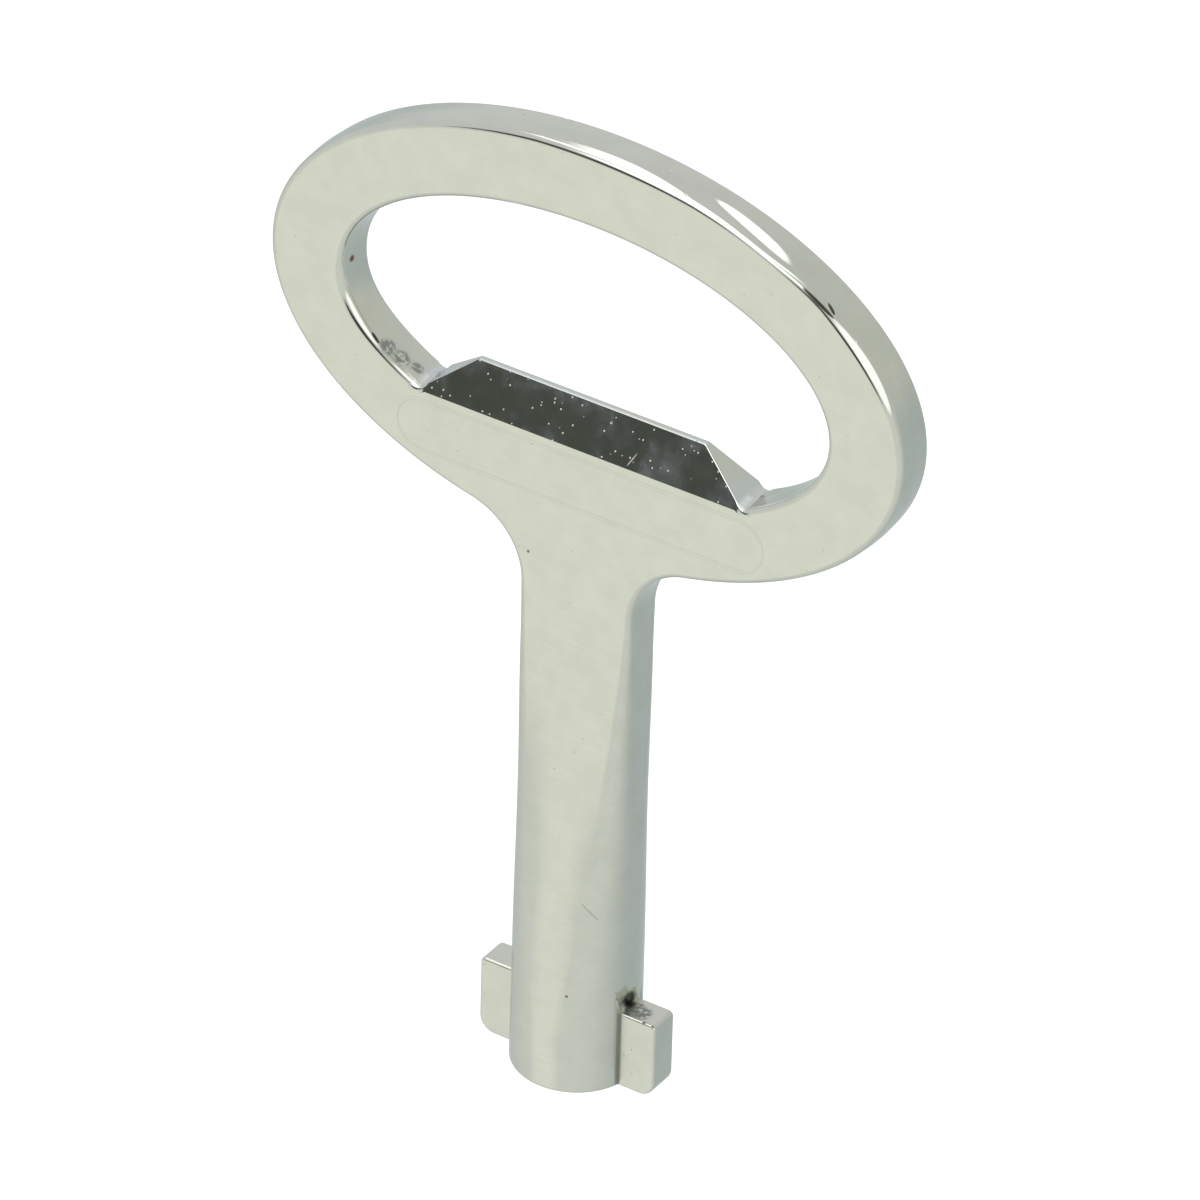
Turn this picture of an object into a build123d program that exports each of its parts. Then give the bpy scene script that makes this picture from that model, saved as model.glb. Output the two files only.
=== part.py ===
from build123d import *
import math
import os

# Double-bit cabinet key, one zinc die casting with a bright nickel-chrome finish.
# Frame: millimetres, +Z from the tip of the shank up to the bow, X across the bow, -Y the front.
# Origin: centre of the shank's end face, on the axis of the pin bore.
# Each node is one region of the casting, and neighbouring regions meet face to face.
# The parting line of the casting is the plane Y = 0, and the walls are drafted both ways from it.

# Shank: round at the tip, as flat as the plate at the neck
TIP_RADIUS = 4.5
BARREL_HEIGHT = 4.0
NECK_HALF_WIDTH = 4.5
NECK_Z = 37.6
NECK_BLEND = 4.0
TIP_EDGE_RADIUS = 0.3
FULLEST_ROUNDING = 0.99
SECTION_HEIGHTS = [BARREL_HEIGHT, 10.0, 16.0, 22.0, 28.0, 32.0, 35.0, NECK_Z]

# Bow: an oval plate with an oval finger opening
PLATE_THICKNESS = 3.4
BOW_Z = 57.25
BOW_HALF_WIDTH = 24.8
BOW_HALF_HEIGHT = 15.4
HOLE_HALF_WIDTH = 18.9
HOLE_HALF_HEIGHT = 9.65
NECK_FILLET = 5.0
DRAFT_ANGLE = 4.0
PLATE_EDGE_RADIUS = 0.5

# Thumb ridge along the lower edge of the opening
RIDGE_BASE_Z = 49.8
RIDGE_HEIGHT = 3.1
RIDGE_HALF_BASE = 12.9
RIDGE_HALF_LENGTH = 8.9
RIDGE_CREST_WIDTH = 0.45

# Bits
BIT_REACH = 7.1
BIT_THICKNESS = 2.4
BIT_HEIGHT = 6.0
BIT_TOE_RADIUS = 1.2
BIT_HEEL_RADIUS = 0.25
BIT_EDGE_RADIUS = 0.3
BIT_ROOT_DEPTH = 1.5

# Flat left on the shank above each bit by the slide that forms the bit's upper side
SLIDE_FLAT_X = 4.15
SLIDE_FLAT_HEIGHT = 1.6

# Bore for the fixed pin of the lock
BORE_RADIUS = 1.7
BORE_DEPTH = 14.0
BORE_CHAMFER = 0.3

# Sizes of the helpers that cut the bow
STEM_BELOW_NECK = 5.0
BEYOND = 200.0
TOUCHING = 1e-3


def neck_depth(height):
    """Half thickness of the shank: a straight taper that flows into the plate at the neck."""
    flat = PLATE_THICKNESS / 2
    slope = (TIP_RADIUS - flat) / (NECK_Z - BARREL_HEIGHT - NECK_BLEND / 2)
    below = NECK_Z - height
    if below < NECK_BLEND:
        return flat + slope * below**2 / (2 * NECK_BLEND)
    return min(flat + slope * (below - NECK_BLEND / 2), TIP_RADIUS)


def shank_section(height):
    """Cross-section of the shank, with corners that open out from the neck to the round tip."""
    rise = max(height - BARREL_HEIGHT, 0) / (NECK_Z - BARREL_HEIGHT)
    depth = neck_depth(height)
    width = TIP_RADIUS + (NECK_HALF_WIDTH - TIP_RADIUS) * rise
    face_width = width - depth * math.tan(math.radians(DRAFT_ANGLE * rise))
    fullest = FULLEST_ROUNDING * depth
    corner = fullest + (PLATE_EDGE_RADIUS - fullest) * rise**2
    points = [
        (-face_width, -depth),
        (face_width, -depth),
        (width, 0),
        (face_width, depth),
        (-face_width, depth),
        (-width, 0),
    ]
    outline = make_face(Polyline(points, close=True))
    corners = outline.vertices().filter_by(lambda vertex: abs(vertex.Y) > TOUCHING)
    return Pos(0, 0, height) * fillet(corners, corner)


def slide_flat():
    """Block whose inner side leaves a narrow flat on the shank, just above the right bit."""
    side = Pos(SLIDE_FLAT_X, BIT_HEIGHT) * Rectangle(
        TIP_RADIUS, SLIDE_FLAT_HEIGHT, align=(Align.MIN, Align.MIN)
    )
    return extrude(Plane.XZ * side, BIT_THICKNESS / 2, both=True)


def pin_bore():
    """Blind round hole in the tip, with a small lead-in chamfer."""
    upwards = (Align.CENTER, Align.CENTER, Align.MIN)
    hole = Cylinder(BORE_RADIUS, BORE_DEPTH, align=upwards)
    lead_in = Cone(BORE_RADIUS + BORE_CHAMFER, BORE_RADIUS, BORE_CHAMFER, align=upwards)
    return hole + lead_in


def make_solid_shank():
    """Shank without its bore: a round barrel that is lofted up into the flat neck."""
    upwards = (Align.CENTER, Align.CENTER, Align.MIN)
    barrel = Cylinder(TIP_RADIUS, BARREL_HEIGHT, align=upwards)
    barrel = fillet(barrel.edges().sort_by(Axis.Z)[0], TIP_EDGE_RADIUS)
    return barrel + loft([shank_section(height) for height in SECTION_HEIGHTS])


def make_shank(solid_shank):
    """Shank with the pin bore and the flats above the bits."""
    right_flat = slide_flat()
    left_flat = mirror(right_flat, about=Plane.YZ)
    return solid_shank - pin_bore() - right_flat - left_flat


def drafted(outline, draft):
    """Plate from the parting line both ways, its walls leaning by the draft angle."""
    front = extrude(Plane.XZ * outline, PLATE_THICKNESS / 2, taper=draft)
    return front + mirror(front, about=Plane.XZ)


def space_above(height):
    """Large block whose underside is at the given height."""
    return Pos(0, 0, height) * Box(
        BEYOND, BEYOND, BEYOND, align=(Align.CENTER, Align.CENTER, Align.MIN)
    )


def bow_outline():
    """Oval head running down past the neck through two concave fillets."""
    oval = Pos(0, BOW_Z) * Ellipse(BOW_HALF_WIDTH, BOW_HALF_HEIGHT)
    stem_end = NECK_Z - STEM_BELOW_NECK
    stem = Pos(0, stem_end) * Rectangle(
        2 * NECK_HALF_WIDTH, BOW_Z - stem_end, align=(Align.CENTER, Align.MIN)
    )
    joined = oval + stem
    corners = joined.vertices().filter_by(lambda vertex: NECK_Z < vertex.Y < BOW_Z)
    return fillet(corners, NECK_FILLET)


def on_rim(edge):
    """True for the front and back edges, except at the neck cut and the ridge's base."""
    middle = edge @ 0.5
    on_face = abs(abs(middle.Y) - PLATE_THICKNESS / 2) < TOUCHING
    at_neck = abs(middle.Z - NECK_Z) < TOUCHING
    at_ridge = abs(middle.Z - RIDGE_BASE_Z) < TOUCHING and abs(middle.X) < HOLE_HALF_WIDTH
    return on_face and not at_neck and not at_ridge


def make_bow():
    """Oval head with a finger opening, whose front and back edges are rounded."""
    head = drafted(bow_outline(), DRAFT_ANGLE) & space_above(NECK_Z)
    oval_hole = drafted(Pos(0, BOW_Z) * Ellipse(HOLE_HALF_WIDTH, HOLE_HALF_HEIGHT), -DRAFT_ANGLE)
    plate = head - (oval_hole & space_above(RIDGE_BASE_Z))
    return fillet(plate.edges().filter_by(on_rim), PLATE_EDGE_RADIUS)


def make_thumb_ridge(bow):
    """Hipped ridge: four sloping faces that meet in a narrow flat crest."""
    base = Pos(0, 0, RIDGE_BASE_Z) * Rectangle(2 * RIDGE_HALF_BASE, PLATE_THICKNESS)
    crest = Rectangle(2 * RIDGE_HALF_LENGTH, RIDGE_CREST_WIDTH)
    return loft([base, Pos(0, 0, RIDGE_BASE_Z + RIDGE_HEIGHT) * crest], ruled=True) - bow


def on_lug_face(edge):
    """True for the front and back edges of a lug, except along its root."""
    middle = edge @ 0.5
    on_face = abs(abs(middle.Y) - BIT_THICKNESS / 2) < TOUCHING
    return on_face and middle.X > TIP_RADIUS - BIT_ROOT_DEPTH + TOUCHING


def make_right_bit(solid_shank):
    """Flat lug beside the tip, rounded at its outer lower corner."""
    root_x = TIP_RADIUS - BIT_ROOT_DEPTH
    side = Pos(root_x, 0) * Rectangle(
        BIT_REACH - root_x, BIT_HEIGHT, align=(Align.MIN, Align.MIN)
    )
    toe = side.vertices().group_by(Axis.X)[-1].sort_by(Axis.Y)[0]
    side = fillet(toe, BIT_TOE_RADIUS)
    heel = side.vertices().sort_by(Axis.Y).group_by(Axis.Y)[-1].sort_by(Axis.X)[-1]
    side = fillet(heel, BIT_HEEL_RADIUS)
    lug = extrude(Plane.XZ * side, BIT_THICKNESS / 2, both=True)
    return fillet(lug.edges().filter_by(on_lug_face), BIT_EDGE_RADIUS) - solid_shank


def build_nodes():
    """Every region of the casting by name."""
    solid_shank = make_solid_shank()
    bow = make_bow()
    right_bit = make_right_bit(solid_shank)
    return {
        "shank": make_shank(solid_shank),
        "bow": bow,
        "thumb_ridge": make_thumb_ridge(bow),
        "right_bit": right_bit,
        "left_bit": mirror(right_bit, about=Plane.YZ),
    }


os.makedirs("parts", exist_ok=True)
for name, solid in build_nodes().items():
    export_step(solid, f"parts/{name}.step")
    print(name, round(solid.volume, 2), "mm3")
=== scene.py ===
import bpy
import math
from mathutils import Matrix, Vector
from mathutils.geometry import delaunay_2d_cdt


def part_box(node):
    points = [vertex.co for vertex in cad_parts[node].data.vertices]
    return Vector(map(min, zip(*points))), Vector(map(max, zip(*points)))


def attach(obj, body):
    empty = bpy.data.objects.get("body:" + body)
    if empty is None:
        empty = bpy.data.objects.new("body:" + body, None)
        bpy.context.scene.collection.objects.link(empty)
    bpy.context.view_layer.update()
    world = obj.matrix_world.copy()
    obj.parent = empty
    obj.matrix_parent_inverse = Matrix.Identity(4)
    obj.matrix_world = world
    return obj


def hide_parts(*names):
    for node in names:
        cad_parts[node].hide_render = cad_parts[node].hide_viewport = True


# Double-bit cabinet key: one zinc die casting, polished and chrome plated.
# Each piece is one region of the casting. The bow and the ridge share their seam's points and
# normals, so that the casting looks whole. Shapes are worked out in millimetres.

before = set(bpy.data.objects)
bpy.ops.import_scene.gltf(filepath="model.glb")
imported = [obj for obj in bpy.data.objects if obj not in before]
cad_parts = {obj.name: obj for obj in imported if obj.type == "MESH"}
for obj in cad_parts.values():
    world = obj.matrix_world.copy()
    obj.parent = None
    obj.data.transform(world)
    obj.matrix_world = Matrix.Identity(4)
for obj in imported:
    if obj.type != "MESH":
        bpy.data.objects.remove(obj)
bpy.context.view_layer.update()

MM = 0.001
WELD_DIGITS = 5


def box_mm(node):
    """Lowest and highest corner of a CAD node in millimetres."""
    low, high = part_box(node)
    return low / MM, high / MM


# Places and outer sizes, from the CAD model
BOW_HIGH = box_mm("bow")[1]
SHANK_LOW, SHANK_HIGH = box_mm("shank")
RIDGE_LOW, RIDGE_HIGH = box_mm("thumb_ridge")
BIT_HIGH = box_mm("right_bit")[1]
TIP_Z = SHANK_LOW.z
NECK_Z = SHANK_HIGH.z
TIP_RADIUS = SHANK_HIGH.y
BOW_HALF_WIDTH = BOW_HIGH.x
BOW_HALF_HEIGHT = 15.4
BOW_Z = BOW_HIGH.z - BOW_HALF_HEIGHT
PLATE_DEPTH = BOW_HIGH.y
RIDGE_BASE_Z = RIDGE_LOW.z
RIDGE_CREST_Z = RIDGE_HIGH.z
BIT_REACH = BIT_HIGH.x
BIT_DEPTH = BIT_HIGH.y
BIT_TOP_Z = BIT_HIGH.z

# Sizes that the boxes don't give, the same as in the CAD model
HOLE_HALF_WIDTH = 18.9
HOLE_HALF_HEIGHT = 9.65
NECK_HALF_WIDTH = 4.5
NECK_FILLET = 5.0
DRAFT = math.tan(math.radians(4.0))
EDGE_RADIUS = 0.5
RIDGE_HALF_BASE = 12.9
RIDGE_HALF_LENGTH = 8.9
CREST_HALF_WIDTH = 0.225
BARREL_TOP_Z = TIP_Z + 4.0
NECK_BLEND = 4.0
TIP_EDGE_RADIUS = 0.3
FULLEST_ROUNDING = 0.99
BORE_RADIUS = 1.7
BORE_DEPTH = 14.0
BORE_CHAMFER = 0.3
SLIDE_FLAT_X = 4.15
SLIDE_FLAT_HEIGHT = 1.6
BIT_TOE_RADIUS = 1.2
BIT_ROOT_X = 3.0

# Edges and surfaces as polishing, plating and wear leave them, unlike the CAD model's
BIT_HEEL_RADIUS = 0.4
BIT_EDGE_RADIUS = 0.2
PARTING_SOFTNESS = 0.3
FACE_CROWN = 0.30
FLAT_EDGE = 0.22
FLAT_BACK_EDGE = 1.0
FLAT_ARCH = 0.55
FLAT_ARCH_REACH = 1.3
CREST_EDGE_RADIUS = 0.16
CREST_END_RADIUS = 0.35
VALLEY_RADIUS = 1.1
VALLEY_LEAN = 2.4
VALLEY_DIP = 0.5
BORE_END_RADIUS = 0.4
# Facets polished across the rim's front edge: (oval angle, half span, depth, tilt)
RIM_FACETS = [(85.0, 14.0, 0.085, 0.86), (28.0, 14.0, 0.14, 0.55)]
# Hollow polished into the rim's wall: its oval angle and half span in degrees, its depth, y and
# half width, and how far y drifts with each degree
HOLLOW_ANGLE = 61.0
HOLLOW_HALF_SPAN = 17.0
HOLLOW_DEPTH = 0.22
HOLLOW_Y = -0.80
HOLLOW_HALF_WIDTH = 0.60
HOLLOW_DRIFT = -0.05
# Rounder edge at the lower left of the finger opening
WORN_EDGE_Z = 54.6
WORN_EDGE_HALF_SPAN = 3.6
WORN_EDGE_EXTRA = 0.3

# Shallow line round the plain panel below the opening
PANEL_HALF_LENGTH = 14.4
PANEL_LOW_Z = 45.2
PANEL_HIGH_Z = 49.1
PANEL_LINE_HALF_WIDTH = 0.22
PANEL_LINE_DEPTH = 0.022

X_AXIS = Vector((1, 0, 0))
Y_AXIS = Vector((0, 1, 0))
Z_AXIS = Vector((0, 0, 1))


def clamp(value, low=0.0, high=1.0):
    return max(low, min(high, value))


def smooth(value):
    """0 to 1 with a level start and end."""
    value = clamp(value)
    return value * value * (3 - 2 * value)


def spread(start, end, count):
    """Evenly spaced values, both ends included."""
    return [start + (end - start) * i / (count - 1) for i in range(count)]


# How finely the shapes are sampled: points along each stretch
NECK_STEPS = 8
FILLET_STEPS = 26
RIM_STEPS = 300
OPENING_STEPS = 110
CREST_STEPS = 28
CREST_END_STEPS = 7
HIP_STEPS = 20
VALLEY_STEPS = 20
PANEL_END_STEPS = 25
BARREL_STEPS = 14
FLAT_STEPS = 46
TAPER_STEPS = 60
BLEND_STEPS = 16
BIT_CORNER_STEPS = 13
ROUNDING_STEPS = 7
EDGE_ROWS = 6
FACE_COLUMNS = 8
# Shares of the way across a wall and round a corner of the shank
WALL_ROWS = [0.9, 0.8, 0.7, 0.6, 0.5, 0.4, 0.3, 0.24, 0.16, 0.08, 0.0]
CORNER_SHARES = spread(0, 0.74, 25) + spread(0.74, 1, 31)[1:]

# The plate's flat face begins this far past its rounded edge, and further by this many times the
# depth of a facet
FOOT_MARGIN = 0.02
FACET_REACH = 1.8
# How far the foot of the ridge's slope runs ahead of the end of its hip
HIP_FOOT_AHEAD = 0.1
# Finely sampled stretch of the shank: its start below the bits' top and its end above the flats
BARREL_MARGIN = 0.5
FLAT_MARGIN = 0.2
# Range of oval angles in radians that holds the lower end of the opening's right side
VALLEY_ANGLES = (-1.2, -0.3)
HALVINGS = 60


def bisect(function, low, high):
    """Where the function changes sign between low and high."""
    low_sign = function(low) > 0
    for _ in range(HALVINGS):
        middle = (low + high) / 2
        if (function(middle) > 0) == low_sign:
            low = middle
        else:
            high = middle
    return (low + high) / 2


def mirrored_y(vector):
    return Vector((vector.x, -vector.y, vector.z))


def mirrored_x(vector):
    return Vector((-vector.x, vector.y, vector.z))


class Shell:
    """Closed surface of one piece, with the normal wanted at each corner of each face."""

    def __init__(self):
        self.index = {}
        self.points = []
        self.faces = []
        self.normals = []

    def point(self, position):
        key = tuple(round(value, WELD_DIGITS) for value in position)
        if key not in self.index:
            self.index[key] = len(self.points)
            self.points.append(position)
        return self.index[key]

    def face(self, corners):
        """Adds one face from (position, normal) corners, turned to agree with its normals."""
        kept = []
        for position, normal in corners:
            index = self.point(position)
            if all(index != other for other, _ in kept):
                kept.append((index, normal))
        if len(kept) < 3:
            return
        wanted = sum((normal for _, normal in kept), Vector())
        turning = Vector()
        origin = self.points[kept[0][0]]
        for (a, _), (b, _) in zip(kept[1:], kept[2:]):
            turning += (self.points[a] - origin).cross(self.points[b] - origin)
        if turning.dot(wanted) < 0:
            kept.reverse()
        self.faces.append([index for index, _ in kept])
        self.normals.extend(normal.normalized() for _, normal in kept)

    def flat(self, positions, normal):
        self.face([(position, normal) for position in positions])

    def grid(self, rows, closed=False):
        """Quads between neighbouring rows of (position, normal) pairs."""
        following = rows[1:] + (rows[:1] if closed else [])
        for row, next_row in zip(rows, following):
            for j in range(len(row) - 1):
                self.face([row[j], row[j + 1], next_row[j + 1], next_row[j]])

    def build(self, name):
        mesh = bpy.data.meshes.new(name)
        mesh.from_pydata([point * MM for point in self.points], [], self.faces)
        mesh.polygons.foreach_set("use_smooth", [True] * len(mesh.polygons))
        mesh.normals_split_custom_set(self.normals)
        mesh.update()
        piece = bpy.data.objects.new(name, mesh)
        bpy.context.scene.collection.objects.link(piece)
        return piece


# ---------------------------------------------------------------- outlines in the parting plane


def oval_point(half_width, half_height, angle):
    """Point and outward normal of an oval round the bow's centre."""
    point = Vector((half_width * math.cos(angle), 0, BOW_Z + half_height * math.sin(angle)))
    normal = Vector((half_height * math.cos(angle), 0, half_width * math.sin(angle)))
    return point, normal.normalized()


def neck_fillet():
    """Centre of the right fillet between neck and oval, and where it meets the oval."""

    def gap(angle):
        point, normal = oval_point(BOW_HALF_WIDTH, BOW_HALF_HEIGHT, angle)
        return (point + normal * NECK_FILLET).x - NECK_HALF_WIDTH - NECK_FILLET

    angle = bisect(gap, -math.pi / 2, 0)
    point, normal = oval_point(BOW_HALF_WIDTH, BOW_HALF_HEIGHT, angle)
    return point + normal * NECK_FILLET, angle, normal


def outer_stations():
    """Stations round the outer outline, from the neck's right side to its left side."""
    centre, oval_start, oval_normal = neck_fillet()
    heights = spread(NECK_Z, centre.z, NECK_STEPS)
    right = [(Vector((NECK_HALF_WIDTH, 0, z)), X_AXIS) for z in heights]
    end_turn = math.atan2(-oval_normal.z, -oval_normal.x)
    for turn in spread(math.pi, end_turn, FILLET_STEPS)[1:]:
        towards = Vector((math.cos(turn), 0, math.sin(turn)))
        right.append((centre + towards * NECK_FILLET, -towards))
    left = [(mirrored_x(point), mirrored_x(normal)) for point, normal in reversed(right)]
    stations = [plate_station(point, normal, 1) for point, normal in right]
    for angle in spread(oval_start, math.pi - oval_start, RIM_STEPS)[1:-1]:
        point, normal = oval_point(BOW_HALF_WIDTH, BOW_HALF_HEIGHT, angle)
        station = plate_station(point, normal, 1, *rim_cut(math.degrees(angle)))
        station.hollow = rim_hollow(math.degrees(angle))
        stations.append(station)
    return stations + [plate_station(point, normal, 1) for point, normal in left]


def rim_hollow(angle):
    """Depth and y of the polishing hollow in the rim's wall at an oval angle in degrees."""
    away = min(abs(angle - HOLLOW_ANGLE) / HOLLOW_HALF_SPAN, 1)
    y = HOLLOW_Y + HOLLOW_DRIFT * (HOLLOW_ANGLE - angle)
    return HOLLOW_DEPTH * (1 - away**2) ** 2, y


def rim_cut(angle):
    """Depth and tilt of the polishing facet on the front edge of the rim at an oval angle."""
    for middle, half_span, depth, tilt in RIM_FACETS:
        away = abs(angle - middle) / half_span
        if away < 1:
            return depth * (1 - away**2), tilt
    return 0.0, 0.5


class Station:
    """One place along the edge of the finger opening.

    wall is the point on the parting line and out the direction into the opening.
    corner is where the wall and the side would meet if the edge were sharp, and foot is where
    the side reaches the plate's front face. radius rounds the corner, and cut is the depth of a
    facet polished across it, tilted from the side (0) to the wall (1).
    """

    def __init__(self, wall, out, corner, foot, radius, side_normal, draft, cut=0.0, tilt=0.5):
        self.wall = wall
        self.out = out
        self.corner = corner
        self.foot = foot
        self.radius = radius
        self.side_normal = side_normal
        self.draft = draft
        self.cut = cut
        self.tilt = tilt
        self.hollow = (0.0, 0.0)
        self.foot_normal = side_normal

    def mirrored(self):
        """The same station on the left, without any facet."""
        places = [mirrored_x(v) for v in (self.wall, self.out, self.corner, self.foot)]
        twin = Station(*places, self.radius, mirrored_x(self.side_normal), self.draft)
        twin.foot_normal = mirrored_x(self.foot_normal)
        return twin

    def half_rows(self, cut):
        """(position, normal) pairs from the front foot over the edge to the parting line."""
        to_wall = (self.wall - self.corner).normalized()
        to_foot = (self.foot - self.corner).normalized()
        half_angle = to_wall.angle(to_foot) / 2
        reach = self.radius / math.tan(half_angle)
        inward = (to_wall + to_foot).normalized()
        centre = self.corner + inward * (self.radius / math.sin(half_angle))
        wall_normal = (self.out - Y_AXIS * (DRAFT * self.draft)).normalized()
        on_foot = (self.corner + to_foot * reach - centre).normalized()
        on_wall = (self.corner + to_wall * reach - centre).normalized()
        facet_arm = on_foot.slerp(on_wall, self.tilt)
        foot_centre = centre - to_foot * (cut / to_foot.dot(facet_arm))
        wall_centre = centre - to_wall * (cut / to_wall.dot(facet_arm))
        rows = [(self.foot, self.foot_normal)]
        arcs = [(foot_centre, spread(0, self.tilt, EDGE_ROWS))]
        arcs.append((wall_centre, spread(self.tilt, 1, EDGE_ROWS)))
        for middle, shares in arcs:
            for share in shares:
                arm = on_foot.slerp(on_wall, share) * self.radius
                normal = self.side_normal.slerp(wall_normal, share)
                rows.append((middle + arm, normal))
        edge = rows[-1][0]
        for share in WALL_ROWS:
            position = self.wall + (edge - self.wall) * share
            near = max(PARTING_SOFTNESS - abs(position.y), 0)
            bevel = self.draft * DRAFT
            position = position - self.out * (bevel * near**2 / (2 * PARTING_SOFTNESS))
            lean = bevel * min(abs(position.y) / PARTING_SOFTNESS, 1)
            rows.append((position, (self.out - Y_AXIS * lean).normalized()))
        return rows

    def hollowed(self, rows):
        """The rows with the polishing hollow pressed into them."""
        depth, middle = self.hollow
        if depth == 0:
            return rows
        result = []
        for position, normal in rows:
            off = (position.y - middle) / HOLLOW_HALF_WIDTH
            sink = depth * math.exp(-(off**2))
            slope = -2 * off / HOLLOW_HALF_WIDTH * sink
            turned = normal + Y_AXIS * (slope * normal.dot(self.out))
            result.append((position - self.out * sink, turned.normalized()))
        return result

    def rows(self):
        """The whole section, from the front foot to the back foot."""
        front = self.half_rows(self.cut)
        plain = self.half_rows(0.0)
        back = [(mirrored_y(point), mirrored_y(normal)) for point, normal in reversed(plain[:-1])]
        return self.hollowed(front + back)


def plate_station(point, normal, out_of_metal, cut=0.0, tilt=0.5):
    """Station on a drafted wall of the plate. normal is the oval's outward normal."""
    out = normal * out_of_metal
    corner = point - out * (PLATE_DEPTH * DRAFT) - Y_AXIS * PLATE_DEPTH
    half_angle = (math.pi / 2 + math.atan(DRAFT)) / 2
    foot_inset = EDGE_RADIUS / math.tan(half_angle) + FOOT_MARGIN + cut * FACET_REACH
    foot = corner - out * foot_inset
    return Station(point, out, corner, foot, EDGE_RADIUS, -Y_AXIS, 1.0, cut, tilt)


def worn(station):
    """The station with the rounder edge that wear gives the opening's lower left part."""
    away = abs(station.wall.z - WORN_EDGE_Z) / WORN_EDGE_HALF_SPAN
    if away >= 1:
        return station
    station.radius += WORN_EDGE_EXTRA * (1 - away**2) ** 2
    half_angle = (math.pi / 2 + math.atan(DRAFT)) / 2
    inset = station.radius / math.tan(half_angle) + FOOT_MARGIN
    station.foot = station.corner - station.out * inset
    return station


def ridge_half_width(z):
    """Half width of the thumb ridge at a height."""
    share = (z - RIDGE_BASE_Z) / (RIDGE_CREST_Z - RIDGE_BASE_Z)
    return PLATE_DEPTH + (CREST_HALF_WIDTH - PLATE_DEPTH) * share


def half_opening():
    """Stations from the middle of the crest to the top of the opening, and the seam's index."""
    crest_end = Vector((RIDGE_HALF_LENGTH, 0, RIDGE_CREST_Z))
    base_end = Vector((RIDGE_HALF_BASE, 0, RIDGE_BASE_Z))
    down = (base_end - crest_end).normalized()
    hip_out = Vector((-down.z, 0, down.x))
    slope = Vector((0, CREST_HALF_WIDTH - PLATE_DEPTH, RIDGE_BASE_Z - RIDGE_CREST_Z))
    slope_normal = Vector((0, slope.z, -slope.y)).normalized()

    def gap(angle):
        point, normal = oval_point(HOLE_HALF_WIDTH, HOLE_HALF_HEIGHT, angle)
        return (point - normal * VALLEY_RADIUS - crest_end).dot(hip_out) - VALLEY_RADIUS

    oval_start = bisect(gap, *VALLEY_ANGLES)
    point, normal = oval_point(HOLE_HALF_WIDTH, HOLE_HALF_HEIGHT, oval_start)
    valley_centre = point - normal * VALLEY_RADIUS
    first_plate = plate_station(point, normal, -1)

    stations = []

    def add_ridge(wall, out, foot):
        corner = Vector((wall.x, -ridge_half_width(wall.z), wall.z))
        stations.append(
            Station(wall, out, corner, foot, CREST_EDGE_RADIUS, slope_normal, 0.0)
        )

    turn = Z_AXIS.angle(hip_out)
    cut_back = CREST_END_RADIUS * math.tan(turn / 2)
    for x in spread(0, RIDGE_HALF_LENGTH - cut_back, CREST_STEPS)[:-1]:
        add_ridge(Vector((x, 0, RIDGE_CREST_Z)), Z_AXIS, Vector((x, -PLATE_DEPTH, RIDGE_BASE_Z)))
    centre = Vector((RIDGE_HALF_LENGTH - cut_back, 0, RIDGE_CREST_Z - CREST_END_RADIUS))
    for share in spread(0, 1, CREST_END_STEPS):
        out = Z_AXIS.slerp(hip_out, share)
        wall = centre + out * CREST_END_RADIUS
        add_ridge(wall, out, Vector((wall.x, -PLATE_DEPTH, RIDGE_BASE_Z)))

    hip_start = stations[-1].wall
    hip_end = valley_centre - hip_out * VALLEY_RADIUS
    hip_foot_end = hip_end.x + HIP_FOOT_AHEAD
    for share in spread(0, 1, HIP_STEPS)[1:]:
        wall = hip_start.lerp(hip_end, share)
        foot_x = hip_start.x + (hip_foot_end - hip_start.x) * share
        add_ridge(wall, hip_out, Vector((foot_x, -PLATE_DEPTH, RIDGE_BASE_Z)))

    start_foot = stations[-1].foot
    for share in spread(0, 1, VALLEY_STEPS)[1:-1]:
        blend = smooth(share)
        out = hip_out.slerp(first_plate.out, share)
        wall = valley_centre - out * VALLEY_RADIUS
        half_width = ridge_half_width(hip_end.z)
        depth = half_width + (PLATE_DEPTH - half_width) * blend
        draft = blend + VALLEY_LEAN * math.sin(math.pi * share)
        corner = wall - out * (draft * depth * DRAFT) - Y_AXIS * depth
        foot = start_foot.lerp(first_plate.foot, share)
        foot -= Z_AXIS * (VALLEY_DIP * math.sin(math.pi * share) ** 2)
        side_normal = slope_normal.slerp(-Y_AXIS, blend)
        radius = CREST_EDGE_RADIUS + (EDGE_RADIUS - CREST_EDGE_RADIUS) * blend
        station = Station(wall, out, corner, foot, radius, side_normal, draft)
        station.foot_normal = slope_normal.slerp(-Y_AXIS, smooth(2 * share))
        stations.append(station)

    seam = len(stations)
    for angle in spread(oval_start, math.pi / 2, OPENING_STEPS):
        point, normal = oval_point(HOLE_HALF_WIDTH, HOLE_HALF_HEIGHT, angle)
        stations.append(plate_station(point, normal, -1))
    return stations, seam


# ---------------------------------------------------------------- bow and thumb ridge


def panel_loops():
    """Loops of the panel line, outermost first: (share of its half width, of its depth, slope)."""
    steep = 2 * PANEL_LINE_DEPTH / PANEL_LINE_HALF_WIDTH
    return [
        (1.0, 0.0, 0.0),
        (0.5, 0.5, steep),
        (0.0, 1.0, 0.0),
        (-0.5, 0.5, -steep),
        (-1.0, 0.0, 0.0),
    ]


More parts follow.
